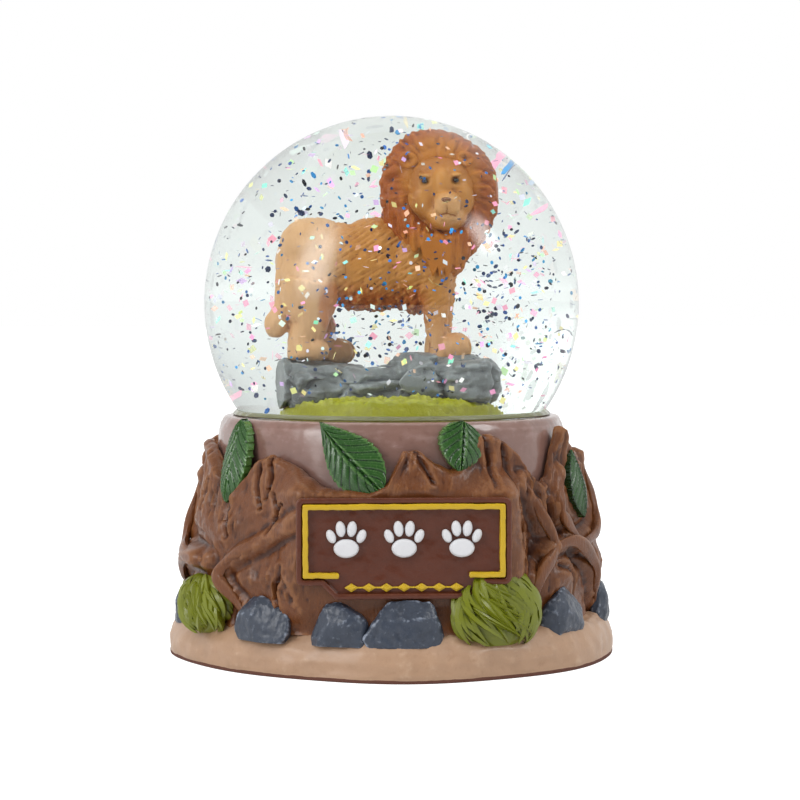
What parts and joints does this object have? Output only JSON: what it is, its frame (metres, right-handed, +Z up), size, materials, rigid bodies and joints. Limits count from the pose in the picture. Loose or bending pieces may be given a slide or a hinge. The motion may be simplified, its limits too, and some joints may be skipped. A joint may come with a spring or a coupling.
{
  "type": "snow globe",
  "caption": "Water-filled glass globe with a lion on a rock ledge, set in a tree-stump base with leaves, roots, stones, grass and a sign board.",
  "frame": {"origin": "on the globe's axis, on the underside of the felt foot", "axes": "+Z up along the globe's axis, -Y out of the sign board, the front"},
  "size_m": [0.0962, 0.0962, 0.1142],
  "materials": {
    "glass": "clear polished glass",
    "liquid": "clear water",
    "rubber": "white moulded rubber",
    "sealant": "clear grey-green sealant, smooth",
    "wood": "cast resin painted mauve-brown, lacquered",
    "bark": "cast resin painted red-brown, satin lacquer",
    "sand": "cast resin painted sand beige, lacquered",
    "felt": "dark red-brown felt",
    "leaf": "cast resin painted green, lacquered",
    "stone": "cast resin painted slate blue with lighter dry-brushed edges",
    "grass": "cast resin painted olive with lime edges",
    "board": "cast resin painted dark red-brown, satin lacquer",
    "yellow": "yellow paint, satin",
    "white": "white paint, satin",
    "ledge": "cast resin painted grey with darker cracks",
    "meadow": "cast resin painted yellow-green",
    "fur": "cast resin painted golden tan",
    "mane": "cast resin painted orange-brown"
  },
  "bodies": {
    "root": {"felt_foot": "felt", "sand_plinth": "sand", "stump_core": "wood", "bark_shell": "bark", "grass_tuft_front_left": "grass", "grass_tuft_front_right": "grass", "grass_tuft_back_right": "grass", "grass_tuft_back_left": "grass", "stone_front_left": "stone", "stone_front_middle_left": "stone", "stone_front_middle_right": "stone", "stone_front_right": "stone", "stone_right": "stone", "stone_back_right": "stone", "stone_back_middle": "stone", "stone_back_left": "stone", "stone_left": "stone", "leaf_front_middle": "leaf", "leaf_front_left": "leaf", "leaf_front_right": "leaf", "leaf_right": "leaf", "leaf_back_right": "leaf", "leaf_back_middle": "leaf", "leaf_back_left": "leaf", "root_left": "bark", "root_far_left": "bark", "root_right": "bark", "root_far_right": "bark", "root_back_right": "bark", "root_back_left": "bark", "sign_board": "board", "sign_border": "yellow", "sign_emblem": "white", "sign_chain": "yellow", "rubber_stopper": "rubber", "glass_globe": "glass", "sealant_bead": "sealant", "liquid_fill": "liquid", "meadow_mound": "meadow", "rock_ledge": "ledge", "lion": "fur", "lion_mane": "mane"}
  },
  "joints": []
}
